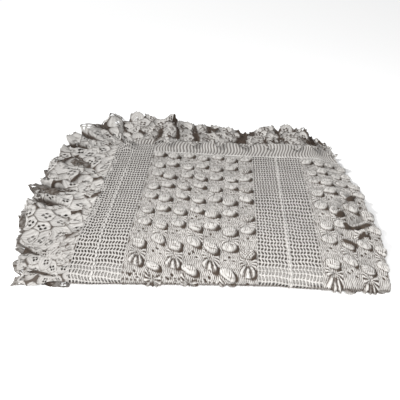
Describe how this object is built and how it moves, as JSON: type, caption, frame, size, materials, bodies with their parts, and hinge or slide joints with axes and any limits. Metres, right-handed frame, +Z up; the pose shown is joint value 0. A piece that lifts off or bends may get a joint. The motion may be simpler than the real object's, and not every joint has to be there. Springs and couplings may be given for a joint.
{
  "type": "crochet bedspread",
  "caption": "Crocheted cotton bedspread with mesh bands, raised shell panels and a gathered lace border, folded into a flat stack.",
  "frame": {"origin": "bottom centre of the folded stack's bounding box", "axes": "+X along the front fold towards the folded side, +Y from the front fold to the lace border behind, +Z up"},
  "size_m": [1.018, 0.7958, 0.1205],
  "materials": {
    "crochet_cotton": "matte crocheted cotton, light linen grey",
    "lace_cotton": "matte crocheted lace, off-white"
  },
  "bodies": {
    "root": {"folded_spread": "crochet_cotton", "lace_border_top": "lace_cotton", "lace_border_third": "lace_cotton", "lace_border_second": "lace_cotton", "lace_border_lowest": "lace_cotton"}
  },
  "joints": []
}
